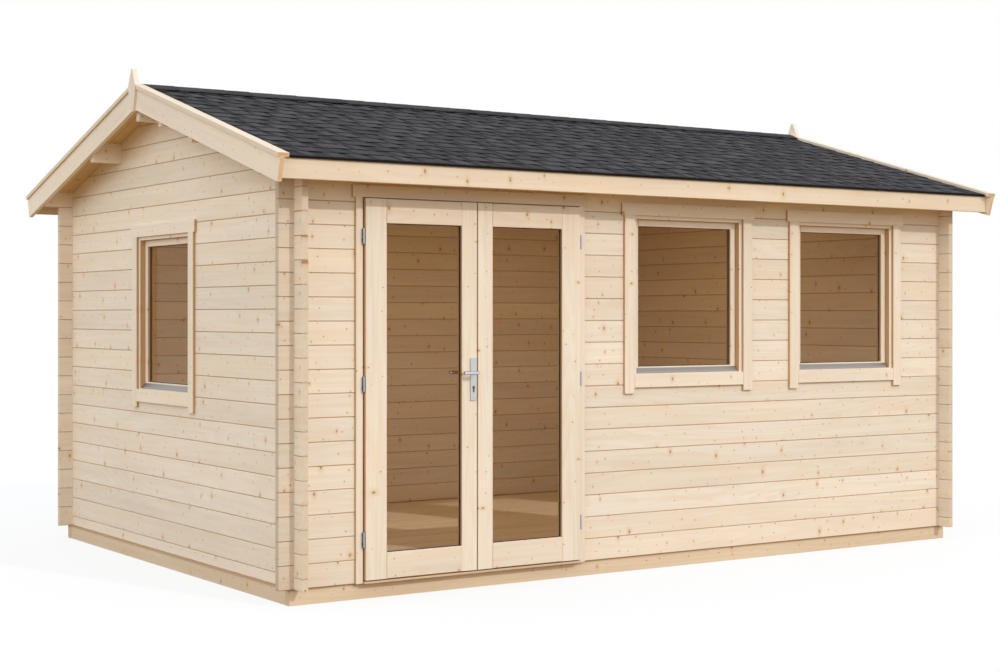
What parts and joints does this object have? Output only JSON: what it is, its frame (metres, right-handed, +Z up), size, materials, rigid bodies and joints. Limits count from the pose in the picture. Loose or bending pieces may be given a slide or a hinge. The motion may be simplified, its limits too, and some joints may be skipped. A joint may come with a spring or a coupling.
{
  "type": "log cabin",
  "caption": "Low pitched log cabin with interlocking corner logs, glazed double doors, front and gable windows, a shingled roof and barge boards with finials.",
  "frame": {"origin": "on the ground under the middle of the walls", "axes": "+X along the front wall, to the right as seen from in front; +Y from the front to the back; +Z up"},
  "size_m": [4.97, 3.6, 2.7676],
  "materials": {
    "spruce_logs": "planed, untreated",
    "spruce_joinery": "planed, untreated",
    "floor_timber": "planed, untreated",
    "roof_shingle": "mineral-faced felt",
    "window_glass": "clear",
    "satin_aluminium": "satin",
    "hinge_steel": "zinc plated"
  },
  "bodies": {
    "cabin": {"long_base_rails": "floor_timber", "short_base_rails": "floor_timber", "floor_joists": "floor_timber", "floor_deck": "floor_timber", "front_wall_left_logs": "spruce_logs", "front_wall_right_logs": "spruce_logs", "front_wall_over_door_log": "spruce_logs", "back_wall_logs": "spruce_logs", "left_gable_logs": "spruce_logs", "right_gable_logs": "spruce_logs", "eaves_logs": "spruce_logs", "ridge_purlin": "spruce_logs", "side_purlins": "spruce_logs", "front_upper_purlin": "spruce_logs", "front_roof_boards": "spruce_joinery", "back_roof_boards": "spruce_joinery", "front_shingles": "roof_shingle", "back_shingles": "roof_shingle", "ridge_cap": "roof_shingle", "front_fascia": "spruce_joinery", "back_fascia": "spruce_joinery", "left_barge_boards": "spruce_joinery", "right_barge_boards": "spruce_joinery", "left_barge_caps": "spruce_joinery", "right_barge_caps": "spruce_joinery", "left_finial": "spruce_joinery", "right_finial": "spruce_joinery", "door_jambs": "spruce_joinery", "door_head": "spruce_joinery", "door_stops": "spruce_joinery", "door_threshold": "spruce_joinery", "door_side_boards": "spruce_joinery", "door_lintel_board": "spruce_joinery", "frame_knuckles": "hinge_steel", "window_side_boards": "spruce_joinery", "window_cross_boards": "spruce_joinery", "window_jambs": "spruce_joinery", "window_heads_and_sills": "spruce_joinery", "sash_stiles": "spruce_joinery", "sash_rails": "spruce_joinery", "window_glass": "window_glass", "window_drip_rails": "satin_aluminium"},
    "left_door": {"left_door_stiles": "spruce_joinery", "left_door_rails": "spruce_joinery", "left_door_glass": "window_glass", "left_door_knuckles": "hinge_steel", "door_plates": "satin_aluminium"},
    "right_door": {"right_door_stiles": "spruce_joinery", "right_door_rails": "spruce_joinery", "right_door_glass": "window_glass", "right_door_knuckles": "hinge_steel"},
    "lever": {"door_lever": "satin_aluminium"}
  },
  "joints": [
    {"name": "left_door_swing", "type": "hinge", "parent": "cabin", "child": "left_door", "pos_m": [-1.9045, -1.58, 1], "axis": [0, 0, -1], "range_deg": [0, 110]},
    {"name": "right_door_swing", "type": "hinge", "parent": "cabin", "child": "right_door", "pos_m": [-0.5755, -1.58, 1], "axis": [0, 0, 1], "range_deg": [0, 110]},
    {"name": "lever_turn", "type": "hinge", "parent": "left_door", "child": "lever", "pos_m": [-1.269, -1.568, 1.112], "axis": [0, -1, 0], "range_deg": [0, 45], "stiffness_Nm_per_rad": 1.5, "springref_deg": -17.19}
  ]
}
